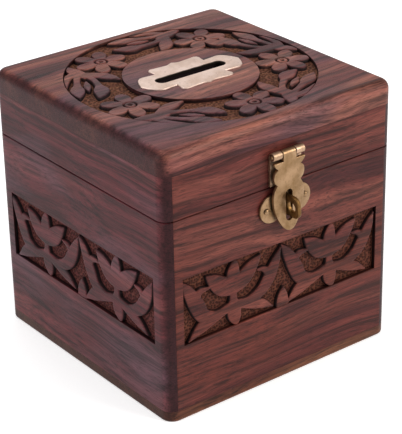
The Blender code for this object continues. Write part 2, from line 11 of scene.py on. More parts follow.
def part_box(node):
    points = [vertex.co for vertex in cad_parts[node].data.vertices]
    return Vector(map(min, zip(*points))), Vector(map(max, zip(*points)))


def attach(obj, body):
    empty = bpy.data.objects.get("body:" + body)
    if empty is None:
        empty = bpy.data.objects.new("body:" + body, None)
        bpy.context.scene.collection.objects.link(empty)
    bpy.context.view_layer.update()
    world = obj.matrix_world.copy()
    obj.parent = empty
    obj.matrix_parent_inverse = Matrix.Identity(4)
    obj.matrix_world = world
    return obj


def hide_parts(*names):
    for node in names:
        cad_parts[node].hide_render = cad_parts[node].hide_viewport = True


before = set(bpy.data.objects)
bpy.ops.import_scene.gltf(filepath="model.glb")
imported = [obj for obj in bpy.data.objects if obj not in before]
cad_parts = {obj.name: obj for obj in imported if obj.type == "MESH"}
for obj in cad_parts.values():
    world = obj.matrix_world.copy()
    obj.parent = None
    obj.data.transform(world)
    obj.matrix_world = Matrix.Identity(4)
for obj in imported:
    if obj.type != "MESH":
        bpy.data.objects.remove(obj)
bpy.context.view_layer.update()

MM = 0.001

# ---- sizes taken from the frame ----

top_low, top_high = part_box("lid_top_board")
HALF_X, HALF_Y, HEIGHT = top_high.x, top_high.y, top_high.z
TOP = HEIGHT - top_low.z
BODY_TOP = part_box("front_wall")[1].z
LID_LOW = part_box("lid_front_rail")[0].z
SEAM = (BODY_TOP + LID_LOW) / 2
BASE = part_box("base_board")[1].z

# ---- sizes of the woodwork, in metres ----

GLUE = 0.00005  # hairline left between glued boards
SHEET = 0.0008  # thickness of the hinges, the fixed leaf and the staple plate
WALL = 0.008
LIP = 0.0037  # end grain of a side board beside its rabbet
CORNER_R = 0.0045
TOP_R = 0.0035
SOFTEN = 0.0003  # worn arris of a board
BASE_EASE = 0.0008
ARC_STEPS = 9

PANEL_DROP = 0.022  # seam to the top of the carved panels
PANEL_H = 0.025
PANEL_END = 0.007  # end of a side to the end of its panel
PANEL_MID = SEAM - PANEL_DROP - PANEL_H / 2
SOCKET = 0.0032  # depth of the recess that holds a carved slab
SPACING = 0.00021  # between the points of a carved surface
REPEAT = 43.0  # length of one repeat of the leaf pattern, in millimetres

RING_OUT = min(HALF_X, HALF_Y) - 0.0055
RING_IN = 0.024
RING_ROWS = 92
RING_STEPS = 900
FLOWER_ANGLES = (-89, -19, 47, 121, 196)

SLOT_L = 0.030
SLOT_W = 0.005
SLOT_EASE = 0.0005  # the wood stands back from the brass all round the slot
SLOT_CUTS = 16  # lengths along the slot's uneven side
SLOT_WOBBLE = 0.00012

# Strokes of the leaf pattern: (along, up, half width) in millimetres from a repeat's middle.
LEAF_STROKES = {
    "bud": [(0.0, 3.5, 2.0), (-0.2, 7.0, 2.8), (0.3, 10.2, 1.8), (0.6, 12.0, 0.4)],
    "left_petal": [(-0.3, 1.8, 2.5), (-4.7, 4.0, 3.4), (-8.2, 7.0, 2.5), (-11.4, 9.8, 0.4)],
    "right_petal": [(0.6, 2.0, 2.5), (4.3, 4.2, 3.4), (7.8, 7.2, 2.6), (11.6, 10.4, 0.4)],
    "stem": [(-0.2, 2.0, 1.9), (-0.2, -1.2, 1.5), (-0.2, -4.8, 2.2)],
    "low_leaf": [(-0.2, -4.0, 2.3), (0.2, -7.8, 3.0), (0.9, -10.6, 1.8), (1.3, -12.3, 0.4)],
    "left_vine": [
        (-1.6, -4.5, 1.4), (-7.4, -6.2, 1.9), (-12.9, -4.2, 2.6), (-15.7, 0.6, 3.0),
        (-19.3, 7.2, 2.0), (-22.0, 11.2, 0.3),
    ],
    "left_curl": [(-16.0, 3.0, 1.7), (-14.2, 5.3, 1.3), (-9.9, 5.5, 0.3)],
    "right_vine": [
        (1.4, -4.6, 1.4), (6.7, -5.4, 1.8), (12.0, -3.2, 2.4), (15.4, 0.6, 2.8),
        (18.2, 5.6, 2.1), (20.4, 10.2, 0.3),
    ],
    "right_curl": [(15.2, 2.6, 1.5), (13.2, 4.6, 1.0), (10.3, 5.3, 0.3)],
    "left_low": [(-1.4, -5.2, 1.0), (-8.0, -6.9, 1.7), (-13.5, -8.1, 2.5), (-19.4, -12.0, 0.3)],
    "right_low": [(1.4, -5.2, 1.0), (6.8, -6.9, 1.5), (11.8, -8.2, 1.9), (17.1, -11.0, 0.3)],
}
FILLER = [(0.0, -12.8, 2.9), (0.0, -9.0, 2.3), (0.3, -5.4, 0.4)]  # between two repeats

# Strokes of the sprig after each flower: (degrees past the flower, share of the ring's width
# from its inner edge, half width in millimetres).
SPRIG_STROKES = {
    "trunk": [(12.5, 0.97, 1.2), (17.5, 0.80, 2.6), (23, 0.62, 1.9)],
    "outer_stem": [(19, 0.78, 1.6), (29, 0.77, 1.2), (37, 0.80, 1.5)],
    "outer_bud": [(35.0, 0.79, 1.3), (41.5, 0.84, 2.6), (46.5, 0.88, 1.6), (50.0, 0.92, 0.4)],
    "inner_stem": [(22, 0.60, 1.6), (30, 0.47, 1.2), (39, 0.44, 1.4)],
    "inner_bud": [(38.5, 0.44, 1.2), (46.0, 0.46, 2.8), (51.5, 0.55, 1.7), (54.5, 0.63, 0.5)],
    "inner_leaf": [(20, 0.60, 1.8), (22.5, 0.32, 2.6), (26, 0.15, 1.6), (30, 0.05, 0.4)],
    "outer_leaf": [(19, 0.84, 1.5), (27, 0.95, 1.6), (36, 0.99, 0.6)],
    "between_leaf": [(31, 0.62, 0.5), (37, 0.63, 1.3), (43, 0.66, 0.5)],
}

# Section of the carving, in millimetres, heights from the face.
CUT_RUN = 0.27  # across a leaf's cut side
EDGE_RUN = 0.9  # across a leaf's worn edge
EDGE_DROP = 0.22
LEAF_TOP = -0.10
GROUND = -1.62
DENT = 0.36  # depth of a punch's dent in the ground
COLLAR_R = 2.2  # cut circle round a flower's middle
COLLAR_HALF = 0.42
PIP_R = 0.9  # dimple in a flower's middle

# ---- shaping helpers ----


def moved(bm, matrix):
    bmesh.ops.transform(bm, matrix=matrix, verts=bm.verts)
    return bm


def prism(outline, low, high):
    """A flat outline in X and Y, raised from one height to another."""
    bm = bmesh.new()
    base = bm.faces.new([bm.verts.new((x, y, low)) for x, y in outline])
    raised = bmesh.ops.extrude_face_region(bm, geom=[base])["geom"]
    tops = [item for item in raised if isinstance(item, bmesh.types.BMVert)]
    bmesh.ops.translate(bm, vec=(0, 0, high - low), verts=tops)
    bmesh.ops.recalc_face_normals(bm, faces=bm.faces)
    return bm


def block(low, high):
    bm = bmesh.new()
    bmesh.ops.create_cube(bm, size=1.0)
    size = Vector(high) - Vector(low)
    centre = (Vector(high) + Vector(low)) / 2
    return moved(bm, Matrix.Translation(centre) @ Matrix.Diagonal((*size, 1.0)))


def arc(centre, radius, start, end, steps):
    """Points along an arc, both ends included, angles in degrees."""
    angles = [math.radians(start + (end - start) * i / steps) for i in range(steps + 1)]
    return [(centre[0] + radius * math.cos(a), centre[1] + radius * math.sin(a)) for a in angles]


def rounded_rectangle(half_x, half_y, radius, steps=ARC_STEPS):
    x, y = half_x - radius, half_y - radius
    corners = (((x, y), 0), ((-x, y), 90), ((-x, -y), 180), ((x, -y), 270))
    return [point for centre, turn in corners for point in arc(centre, radius, turn, turn + 90, steps)]


def stadium(length, width, steps=12):
    """A slot with round ends, long in X."""
    reach = (length - width) / 2
    right = arc((reach, 0), width / 2, -90, 90, steps)
    left = arc((-reach, 0), width / 2, 90, 270, steps)
    return right + left


def soften(bm, edges, width, segments=2):
    bmesh.ops.bevel(
        bm, geom=edges, offset=width, segments=segments, profile=0.5, affect="EDGES", material=-1
    )


def helper(bm):
    mesh = bpy.data.meshes.new("cutter")
    bm.to_mesh(mesh)
    bm.free()
    made = bpy.data.objects.new("cutter", mesh)
    bpy.context.scene.collection.objects.link(made)
    return made


def combined(bm, join=(), cut=()):
    """Joins shapes to a bmesh, then cuts shapes out of it, and returns the result."""
    target = helper(bm)
    tools = []
    for operation, shapes in (("UNION", join), ("DIFFERENCE", cut)):
        for shape in shapes:
            tools.append(helper(shape))
            step = target.modifiers.new("combine", "BOOLEAN")
            step.operation = operation
            step.solver = "MANIFOLD"
            step.object = tools[-1]
    made = bmesh.new()
    made.from_object(target, bpy.context.evaluated_depsgraph_get())
    if not made.faces:
        raise ValueError("nothing is left of a combined shape")
    for used in (target, *tools):
        mesh = used.data
        bpy.data.objects.remove(used)
        bpy.data.meshes.remove(mesh)
    return made


def turned(profile, steps=28, closed=False):
    """A round solid about Z from (radius, height) points: a ring if closed, or else from axis to axis."""
    bm = bmesh.new()
    verts = [bm.verts.new((radius, 0, height)) for radius, height in profile]
    pairs = list(zip(verts, verts[1:])) + ([(verts[-1], verts[0])] if closed else [])
    edges = [bm.edges.new(pair) for pair in pairs]
    bmesh.ops.spin(
        bm, geom=verts + edges, cent=(0, 0, 0), axis=(0, 0, 1), angle=2 * math.pi, steps=steps,
        use_merge=True,
    )
    bmesh.ops.remove_doubles(bm, verts=bm.verts, dist=1e-7)
    bmesh.ops.recalc_face_normals(bm, faces=bm.faces)
    return bm


def rod(start, end, radius, ease=0.0, steps=28):
    """A round bar between two points, its ends eased."""
    start, end = Vector(start), Vector(end)
    length = (end - start).length
    rim = [(radius - ease, 0), (radius, ease), (radius, length - ease), (radius - ease, length)]
    bm = turned([(0, 0), *(rim if ease else rim[::3]), (0, length)], steps)
    turn = (end - start).to_track_quat("Z", "Y").to_matrix().to_4x4()
    return moved(bm, Matrix.Translation(start) @ turn)


def finished(name, bm, body, finish, stands_for=(), smooth=35):
    """A piece of the box: its mesh, its finish, the body it rides on and the nodes it stands for."""
    mesh = bpy.data.meshes.new(name)
    bm.to_mesh(mesh)
    bm.free()
    mesh.shade_smooth()
    mesh.set_sharp_from_angle(angle=math.radians(smooth))
    made = bpy.data.objects.new(name, mesh)
    bpy.context.scene.collection.objects.link(made)
    mesh.materials.append(finish)
    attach(made, body)
    if stands_for:
        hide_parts(*stands_for)
    return made


# ---- finishes ----


class Recipe:
    """A node material, put together one node at a time."""

    def __init__(self, name):
        self.material = bpy.data.materials.new(name)
        self.material.use_nodes = True
        self.tree = self.material.node_tree
        self.shader = self.tree.nodes["Principled BSDF"]
        self.place = self.tree.nodes.new("ShaderNodeTexCoord")

    def put(self, socket, value):
        if isinstance(value, bpy.types.NodeSocket):
            self.tree.links.new(value, socket)
        else:
            socket.default_value = value

    def node(self, kind, inputs, **settings):
        made = self.tree.nodes.new(kind)
        for name, value in settings.items():
            setattr(made, name, value)
        for name, value in inputs.items():
            self.put(made.inputs[name], value)
        return made

    def maths(self, operation, a, b=0.0, clamp=False):
        made = self.node("ShaderNodeMath", {0: a, 1: b}, operation=operation, use_clamp=clamp)
        return made.outputs[0]

    def stretched(self, vector, scale, shift=(0, 0, 0)):
        made = self.node("ShaderNodeMapping", {"Vector": vector, "Scale": scale, "Location": shift})
        return made.outputs[0]

    def noise(self, vector, detail=2.0, rough=0.5):
        inputs = {"Vector": vector, "Scale": 1.0, "Detail": detail, "Roughness": rough}
        return self.node("ShaderNodeTexNoise", inputs)

    def ramp(self, factor, stops):
        """Colours along a factor: stops are (place, colour or brightness)."""
        made = self.node("ShaderNodeValToRGB", {"Fac": factor})
        elements = made.color_ramp.elements
        while len(elements) < len(stops):
            elements.new(0.5)
        for element, (place, colour) in zip(elements, stops):
            element.position = place
            grey = isinstance(colour, (int, float))
            element.color = (colour, colour, colour, 1.0) if grey else (*colour, 1.0)
        return made.outputs["Color"]

    def mix(self, factor, a, b, blend="MIX"):
        made = self.node("ShaderNodeMix", {0: factor}, data_type="RGBA", blend_type=blend)
        self.put(made.inputs[6], a)
        self.put(made.inputs[7], b)
        return made.outputs[2]

    def bump(self, height, strength, distance):
        inputs = {"Height": height, "Strength": strength, "Distance": distance}
        return self.node("ShaderNodeBump", inputs).outputs[0]


def rosewood(name, grain, tones, cloud, shift=(0, 0, 0), carved=False):
    """Waxed rosewood, its grain along X or Y. Tones are dark, middle and light; cloud is a second tint."""
    wood = Recipe(name)
    dark, middle, light = tones
    parts = wood.node("ShaderNodeSeparateXYZ", {0: wood.place.outputs["Object"]}).outputs
    order = (0, 1, 2) if grain == "X" else (1, 0, 2)
    along_grain = wood.node("ShaderNodeCombineXYZ", {i: parts[k] for i, k in enumerate(order)}).outputs[0]
    drift = wood.noise(wood.stretched(along_grain, (9, 24, 24), shift), 2.0).outputs["Color"]
    sway = wood.node("ShaderNodeVectorMath", {0: drift, 1: (0.5, 0.5, 0.5)}, operation="SUBTRACT").outputs[0]
    sway = wood.node("ShaderNodeVectorMath", {0: sway, 1: (0, 0.02, 0.02)}, operation="MULTIPLY").outputs[0]
    flow = wood.node("ShaderNodeVectorMath", {0: along_grain, 1: sway}, operation="ADD").outputs[0]

    layers = wood.noise(wood.stretched(flow, (4, 95, 95), shift), 3.0, 0.55).outputs["Fac"]
    streaks = wood.noise(wood.stretched(flow, (8, 520, 520), shift), 5.0, 0.62).outputs["Fac"]
    fibres = wood.noise(wood.stretched(flow, (60, 2100, 2100), shift), 2.0, 0.6).outputs["Fac"]
    pores = wood.noise(wood.stretched(flow, (230, 3300, 3300), shift), 1.0).outputs["Fac"]
    clouds = wood.noise(wood.stretched(along_grain, (16, 45, 45), shift), 2.0).outputs["Fac"]

    colour = wood.ramp(layers, [(0.33, dark), (0.47, middle), (0.66, light)])
    colour = wood.mix(wood.ramp(clouds, [(0.50, 0.0), (0.66, 0.7)]), colour, (*cloud, 1.0))
    streaked = wood.ramp(streaks, [(0.37, 0.36), (0.49, 0.96), (0.63, 1.36)])
    colour = wood.mix(1.0, colour, streaked, "MULTIPLY")
    colour = wood.mix(1.0, colour, wood.ramp(fibres, [(0.30, 0.72), (0.70, 1.22)]), "MULTIPLY")
    pore_mask = wood.ramp(pores, [(0.56, 0.0), (0.66, 1.0)])
    colour = wood.mix(wood.maths("MULTIPLY", pore_mask, 0.5), colour, (*[c * 0.35 for c in dark], 1.0))

    facing = wood.node("ShaderNodeSeparateXYZ", {0: wood.place.outputs["Normal"]}).outputs
    endways = wood.maths("ABSOLUTE", facing[0 if grain == "X" else 1])
    specks = wood.noise(wood.stretched(along_grain, (900, 1500, 2600), shift), 2.0).outputs["Fac"]
    end_dark, end_light = ((*[c * share for c in dark], 1.0) for share in (0.25, 0.80))
    end_tone = wood.mix(wood.ramp(specks, [(0.38, 0.0), (0.62, 1.0)]), end_dark, end_light)
    colour = wood.mix(wood.ramp(endways, [(0.35, 0.0), (0.75, 0.85)]), colour, end_tone)

    rough = wood.ramp(fibres, [(0.2, 0.36), (0.8, 0.50)])
    if carved:
        depth = wood.node("ShaderNodeAttribute", {}, attribute_name="carved").outputs["Fac"]
        lit = [c * share for c, share in zip(light, FLECK)]
        ground = wood.ramp(depth, [(0.60, 0.0), (0.66, 1.0)])
        fleck = wood.mix(wood.ramp(fibres, [(0.35, 0.2), (0.65, 0.8)]), (*middle, 1.0), (*lit, 1.0))
        colour = wood.mix(ground, colour, fleck)
        # Darker with depth: painted shade on the steep cut walls, in the punch dents and on the marked
        # recess walls, besides the ground's own slightly darker tone
        stops = [
            (0.0, 1.0), (0.14, 0.90), (0.22, 0.26), (0.55, 0.10), (0.66, 0.85), (0.75, 0.50), (0.82, 0.22),
        ]
        colour = wood.mix(1.0, colour, wood.ramp(depth, stops), "MULTIPLY")
        rough = wood.mix(wood.ramp(depth, [(0.05, 0.0), (0.4, 1.0)]), rough, (0.75, 0.75, 0.75, 1.0))
    wood.put(wood.shader.inputs["Base Color"], colour)
    wood.put(wood.shader.inputs["Roughness"], rough)
    relief = wood.mix(0.5, fibres, wood.maths("SUBTRACT", 1.0, pore_mask))
    wood.put(wood.shader.inputs["Normal"], wood.bump(relief, 0.22, 0.00025))
    wood.shader.inputs["Specular IOR Level"].default_value = 0.15
    return wood.material


def brass(name, tone, worn, roughness):
    """Sheet brass with rubbed patches, dull spots and fine scratches."""
    metal = Recipe(name)
    place = metal.place.outputs["Object"]
    patches = metal.noise(metal.stretched(place, (170, 170, 170)), 4.0, 0.6).outputs["Fac"]
    spots = metal.noise(metal.stretched(place, (1500, 1500, 1500)), 2.0).outputs["Fac"]
    scratches = metal.noise(metal.stretched(place, (900, 5200, 6200)), 2.0).outputs["Fac"]
    colour = metal.ramp(patches, [(0.34, worn), (0.62, tone)])
    spotted = metal.ramp(spots, [(0.60, 0.0), (0.72, 0.45)])
    colour = metal.mix(spotted, colour, (*[c * 0.55 for c in worn], 1.0))
    # Painted shade where the depth attribute is set, as on the walls inside the coin plate's slot
    depth = metal.node("ShaderNodeAttribute", {}, attribute_name="carved").outputs["Fac"]
    colour = metal.mix(1.0, colour, metal.ramp(depth, [(0.02, 1.0), (0.35, 0.06)]), "MULTIPLY")
    metal.put(metal.shader.inputs["Base Color"], colour)
    rubbed = metal.ramp(patches, [(0.3, roughness * 1.25), (0.7, roughness)])
    metal.put(metal.shader.inputs["Roughness"], rubbed)
    metal.put(metal.shader.inputs["Normal"], metal.bump(scratches, 0.14, 0.0001))
    metal.shader.inputs["Metallic"].default_value = 1.0
    return metal.material


WARM = ((0.042, 0.008, 0.008), (0.086, 0.0175, 0.0140), (0.150, 0.042, 0.030))
COOL = ((0.040, 0.007, 0.009), (0.080, 0.0145, 0.0175), (0.128, 0.031, 0.031))
PALE = ((0.056, 0.013, 0.014), (0.132, 0.037, 0.033), (0.245, 0.088, 0.062))
GREY_CLOUD = (0.080, 0.038, 0.050)
RED_CLOUD = (0.112, 0.023, 0.014)
FLECK = (1.15, 1.40, 1.00)  # flecks of the punched ground against the wood's light tone
RECESS_PAINTED_SHADE = 1.3  # painted shade at the deep end of a recess's wall, in the panel sockets and the lid's ring groove
SLOT_PAINTED_SHADE = 0.5  # painted shade on the wood inside the coin slot
BASE_TONES = ((0.062, 0.017, 0.010), (0.118, 0.038, 0.019), (0.185, 0.074, 0.036))

wood = {
    "front": rosewood("front_rosewood", "X", WARM, RED_CLOUD, (0.3, 1.7, 4.1)),
    "back": rosewood("back_rosewood", "X", WARM, RED_CLOUD, (5.2, 3.1, 0.4)),
    "left": rosewood("left_rosewood", "Y", COOL, GREY_CLOUD, (2.9, 0.2, 7.7)),
    "right": rosewood("right_rosewood", "Y", COOL, GREY_CLOUD, (8.1, 4.6, 1.3)),
    "base": rosewood("base_rosewood", "X", BASE_TONES, RED_CLOUD, (2.3, 7.7, 5.1)),
    "front_carved": rosewood("front_carved_rosewood", "X", WARM, RED_CLOUD, (0.3, 1.7, 4.1), True),
    "back_carved": rosewood("back_carved_rosewood", "X", WARM, RED_CLOUD, (5.2, 3.1, 0.4), True),
    "left_carved": rosewood("left_carved_rosewood", "Y", COOL, GREY_CLOUD, (2.9, 0.2, 7.7), True),
    "right_carved": rosewood("right_carved_rosewood", "Y", COOL, GREY_CLOUD, (8.1, 4.6, 1.3), True),
    "top_carved": rosewood("top_carved_rosewood", "X", PALE, GREY_CLOUD, (1.1, 6.3, 2.2), True),
}
hasp_brass = brass("hasp_brass", (0.355, 0.225, 0.128), (0.205, 0.120, 0.054), 0.36)
# a lighter copy of the hasp brass: painted highlight on the fixed leaf, its outer knuckles and its nails
highlit_leaf_brass = brass("highlit_leaf_brass", (0.52, 0.35, 0.24), (0.30, 0.19, 0.11), 0.40)
# a darker copy of the hasp brass: painted shade on the staple loop
shaded_loop_brass = brass("painted_shade_loop_brass", (0.24, 0.13, 0.045), (0.10, 0.05, 0.018), 0.42)
plate_brass = brass("coin_plate_brass", (0.86, 0.67, 0.58), (0.74, 0.55, 0.45), 0.42)
steel = brass("pin_steel", (0.46, 0.45, 0.43), (0.30, 0.29, 0.27), 0.42)

# ---- carving ----


def smooth_line(knots, per_span=7):
    """Points along a stroke whose middle line and half width pass smoothly through knots."""
    knots = np.array(knots, float)
    path = np.vstack([2 * knots[0] - knots[1], knots, 2 * knots[-1] - knots[-2]])
    made = []
    for p, a, b, q in zip(path, path[1:], path[2:], path[3:]):
        for t in np.arange(per_span) / per_span:
            square, cube = 2 * p - 5 * a + 4 * b - q, 3 * a - p - 3 * b + q
            curve = 2 * a + (b - p) * t + square * t**2 + cube * t**3
            made.append(curve / 2)
    made.append(knots[-1])
    return np.array(made)


def stroke_distance(points, knots, far):
    """Distance in millimetres from each point to a stroke's edge, below 0 inside it, and at most far."""
    line = smooth_line(knots)
    made = np.full(len(points), far)
    for a, b in zip(line, line[1:]):
        reach = max(a[2], b[2]) + far
        near = np.flatnonzero(
            (np.abs(points[:, 0] - (a[0] + b[0]) / 2) < reach + abs(a[0] - b[0]))
            & (np.abs(points[:, 1] - (a[1] + b[1]) / 2) < reach + abs(a[1] - b[1]))
        )
        way = b[:2] - a[:2]
        offset = points[near] - a[:2]
        share = np.clip(offset @ way / max(way @ way, 1e-9), 0, 1)
        gap = np.hypot(*(offset - share[:, None] * way).T) - (a[2] + share * (b[2] - a[2]))
        made[near] = np.minimum(made[near], gap)
    return made


def punched(points, pitch=1.05, seed=3):
    """Depth, 0 to 1, of the round dents that a punch left all over the carved ground."""
    low = points.min(0) - pitch
    cell = np.floor((points - low) / pitch).astype(int)
    count = cell.max(0) + 3
    jitter = np.random.default_rng(seed).uniform(-0.42, 0.42, (*count, 2))
    depth = np.zeros(len(points))
    for i in (-1, 0, 1):
        for k in (-1, 0, 1):
            near = np.clip(cell + (i, k), 0, count - 1)
            centre = low + (near + 0.5 + jitter[near[:, 0], near[:, 1]]) * pitch
            away = np.hypot(*(points - centre).T) / (0.56 * pitch)
            depth = np.maximum(depth, np.clip(1 - away**2, 0, 1))
    return depth


def relief_height(points, distance, seed):
    """Height of a carved surface in millimetres below the face, from the distance to the leaves' edges."""
    wall = np.clip(distance / CUT_RUN, 0, 1)
    wall = wall * wall * (3 - 2 * wall)
    edge = np.clip(1 + distance / EDGE_RUN, 0, 1)
    top = LEAF_TOP - EDGE_DROP * edge**3
    ground = GROUND - DENT * punched(points, seed=seed)
    return top * (1 - wall) + ground * wall


def panel_relief(points, half_length, seed):
    repeats = max(1, round(2 * half_length / REPEAT))
    pitch = 2 * half_length / repeats
    distance = np.full(len(points), 3.0)
    for n in range(repeats):
        middle = (n - (repeats - 1) / 2) * pitch
        groups = [(LEAF_STROKES.values(), middle)]
        if n:
            groups.append(([FILLER], middle - pitch / 2))
        for strokes, centre in groups:
            for knots in strokes:
                placed = [(centre + x * pitch / REPEAT, y, half) for x, y, half in knots]
                distance = np.minimum(distance, stroke_distance(points, placed, 1.5))
    return relief_height(points, distance, seed)


def shape_surface(bm, heights, layer_name="carved"):
    """Lowers the points of a flat surface to heights in millimetres, and notes how deep each lies."""
    layer = bm.verts.layers.float.new(layer_name)
    for vert, height in zip(bm.verts, heights):
        vert.co.z = height * MM
        # this depth also sets the painted shade of the carving's walls and dents
        vert[layer] = min(1.0, -height / 2.4)


def carved_slab(length, height, seed):
    """The carved ground and leaves of one panel, flat in X and Y, its face at height 0."""
    bm = bmesh.new()
    columns, rows = round(length / SPACING), round(height / SPACING)
    bmesh.ops.create_grid(bm, x_segments=columns, y_segments=rows, size=0.5)
    moved(bm, Matrix.Diagonal((length, height, 1.0, 1.0)))
    points = np.array([vert.co[:2] for vert in bm.verts]) / MM
    shape_surface(bm, panel_relief(points, length / 2 / MM, seed))
    rim = [edge for edge in bm.edges if edge.is_boundary]
    skirt = bmesh.ops.extrude_edge_only(bm, edges=rim)["geom"]
    for vert in skirt:
        if isinstance(vert, bmesh.types.BMVert):
            vert.co.z = -SOCKET
    bmesh.ops.holes_fill(bm, edges=[edge for edge in bm.edges if edge.is_boundary], sides=0)
    bmesh.ops.recalc_face_normals(bm, faces=bm.faces)
    return bm


def ring_relief(points, seed):
    """Height of the lid's ring, with flowers, sprigs and a cut line round each edge."""
    inner, width = RING_IN / MM, (RING_OUT - RING_IN) / MM
    middle = inner + width / 2
    size = width / 2
    distance = np.full(len(points), 3.0)
    marks = np.zeros(len(points))
    for angle in FLOWER_ANGLES:
        a = math.radians(angle)
        offset = points - middle * np.array([math.cos(a), math.sin(a)])
        reach = np.hypot(*offset.T)
        turn = np.arctan2(offset[:, 1], offset[:, 0]) - a
        petal = np.abs(np.cos(3 * turn))
        outline = size * (0.34 + 0.66 * petal**0.62)
        distance = np.minimum(distance, np.clip((reach - outline) * (0.55 + 0.4 * petal), -3, 3))
        dish = np.clip(1 - ((reach - 0.64 * size) / 3.2) ** 2, 0, 1) * petal**2
        collar = np.clip(1 - np.abs(reach - COLLAR_R) / COLLAR_HALF, 0, 1)
        pip = np.clip(1 - (reach / PIP_R) ** 2, 0, 1)
        for deep, mark in ((0.10, dish), (0.85, collar), (1.1, pip)):
            marks = np.maximum(marks, deep * mark)
        for knots in SPRIG_STROKES.values():
            placed = []
            for past, share, half in knots:
                way = math.radians(angle + past)
                placed.append((*((inner + width * share) * np.array([math.cos(way), math.sin(way)])), half))
            distance = np.minimum(distance, stroke_distance(points, placed, 1.5))
    heights = relief_height(points, distance, seed) - marks * (distance < 0)
    from_edge = np.minimum(np.hypot(*points.T) - inner, inner + width - np.hypot(*points.T))
    return np.minimum(heights, -0.95 * np.clip(1 - from_edge / 0.5, 0, 1))


def carved_ring(seed):
    """The lid's carved ring, spun from a strip of points, its face at height 0."""
    radii = [RING_IN + (RING_OUT - RING_IN) * i / RING_ROWS for i in range(RING_ROWS + 1)]
    profile = [(radius, 0.0) for radius in radii] + [(RING_OUT, -SOCKET), (RING_IN, -SOCKET)]
    bm = turned(profile, RING_STEPS, closed=True)
    points = np.array([vert.co[:2] for vert in bm.verts]) / MM
    face = np.array([vert.co.z > -SOCKET / 2 for vert in bm.verts])
    heights = np.where(face, ring_relief(points, seed), -SOCKET / MM)
    shape_surface(bm, heights)
    bmesh.ops.recalc_face_normals(bm, faces=bm.faces)
    return bm


# ---- boards ----


def plain_board(half_length, face):
    """Plan of a front or back board that sits in the side boards' rabbets; its face looks to -Y."""
    end = half_length - LIP - GLUE / 2
    centre_x, centre_y = half_length - CORNER_R, -face + CORNER_R
    lean = math.degrees(math.acos((end - centre_x) / CORNER_R))
    right = arc((centre_x, centre_y), CORNER_R, 270, 360 - lean, ARC_STEPS)
    left = [(-x, y) for x, y in reversed(right)]
    inner = -face + WALL
    return left + right + [(end, inner), (-end, inner)]


def lipped_board(half_length, face):
    """Plan of a side board with a rabbet at each end; its face looks to -Y."""
    lip = -face + LIP - GLUE / 2
    centre_x, centre_y = half_length - CORNER_R, -face + CORNER_R
    lean = math.degrees(math.asin((lip - centre_y) / CORNER_R))
    right = arc((centre_x, centre_y), CORNER_R, 270, 360 + lean, ARC_STEPS)
    left = [(-x, y) for x, y in reversed(right)]
    shoulder, inner = half_length - WALL - GLUE, -face + WALL
    return left + right + [(shoulder, lip), (shoulder, inner), (-shoulder, inner), (-shoulder, lip)]


SIDES = (
    ("front", 0, HALF_X, HALF_Y, plain_board),
    ("right", 90, HALF_Y, HALF_X, lipped_board),
    ("back", 180, HALF_X, HALF_Y, plain_board),
    ("left", -90, HALF_Y, HALF_X, lipped_board),
)


def recess(bm, half_x, face, low, high, depth):
    """Sinks a rectangle of a board's face, which looks to -Y."""
    for spot, way in (((half_x, 0, 0), (1, 0, 0)), ((-half_x, 0, 0), (1, 0, 0)), ((0, 0, low), (0, 0, 1)),
                      ((0, 0, high), (0, 0, 1))):
        bmesh.ops.bisect_plane(bm, geom=[*bm.verts, *bm.edges, *bm.faces], plane_co=spot, plane_no=way)
    middle = Vector((0, -face, (low + high) / 2))
    sunk = [f for f in bm.faces if (f.calc_center_median() - middle).length < MM]
    made = bmesh.ops.extrude_face_region(bm, geom=sunk)["geom"]
    bmesh.ops.delete(bm, geom=sunk, context="FACES")
    bmesh.ops.translate(bm, vec=(0, depth, 0), verts=[v for v in made if isinstance(v, bmesh.types.BMVert)])


def split_beside(bm, cutter):
    """Splits a board's faces a little to each side of a cutter, so that no face wraps round two cuts."""
    across = [vert.co.x for vert in cutter.verts]
    for x in (min(across) - MM, max(across) + MM):
        geom = [*bm.verts, *bm.edges, *bm.faces]
        bmesh.ops.bisect_plane(bm, geom=geom, plane_co=(x, 0, 0), plane_no=(1, 0, 0))


def frame_board(side, turn, half_length, face, plan, low, high, name, body, slot, mortises=()):
    """One board of the body or the lid. A board of the body gets its carved panel."""
    bm = prism(plan(half_length, face), low, high)
    seam_side = high if body == "box" else low
    soften(bm, [e for e in bm.edges if all(abs(v.co.z - seam_side) < GLUE for v in e.verts)], SOFTEN)
    if body == "box":
        half_panel = half_length - PANEL_END
        recess(bm, half_panel, face, PANEL_MID - PANEL_H / 2, PANEL_MID + PANEL_H / 2, SOCKET)
    bmesh.ops.recalc_face_normals(bm, faces=bm.faces)
    to_side = Matrix.Rotation(math.radians(turn), 4, "Z")
    moved(bm, to_side)
    if mortises:
        for mortise in mortises:
            split_beside(bm, mortise)
        bm = combined(bm, cut=mortises)
    place = "body" if body == "box" else "lid"
    if body != "box":
        finished(f"{place}_{side}_board", bm, body, wood[side], [name], smooth=20)
        return
    outward = (to_side @ Vector((0, -1, 0))).normalized()
    inside = half_panel + GLUE, PANEL_H / 2 + GLUE
    # Painted shade on the walls of the panel's recess, darker towards its deep end
    layer = bm.verts.layers.float.new("carved")
    for vert in bm.verts:
        across = abs(vert.co.cross(outward).z)
        sunk = (face - vert.co.dot(outward)) / MM
        if across < inside[0] and abs(vert.co.z - PANEL_MID) < inside[1] and sunk < WALL / MM / 2:
            vert[layer] = RECESS_PAINTED_SHADE * min(1.0, sunk)
    finished(f"{place}_{side}_board", bm, body, wood[f"{side}_carved"], [name], smooth=20)
    slab = carved_slab(2 * half_panel, PANEL_H, seed=turn % 7)
    to_face = Matrix.Translation((0, -face, PANEL_MID)) @ Matrix.Rotation(math.pi / 2, 4, "X")
    moved(slab, to_side @ to_face)
    finished(f"{side}_carved_panel", slab, body, wood[f"{side}_carved"], smooth=180)


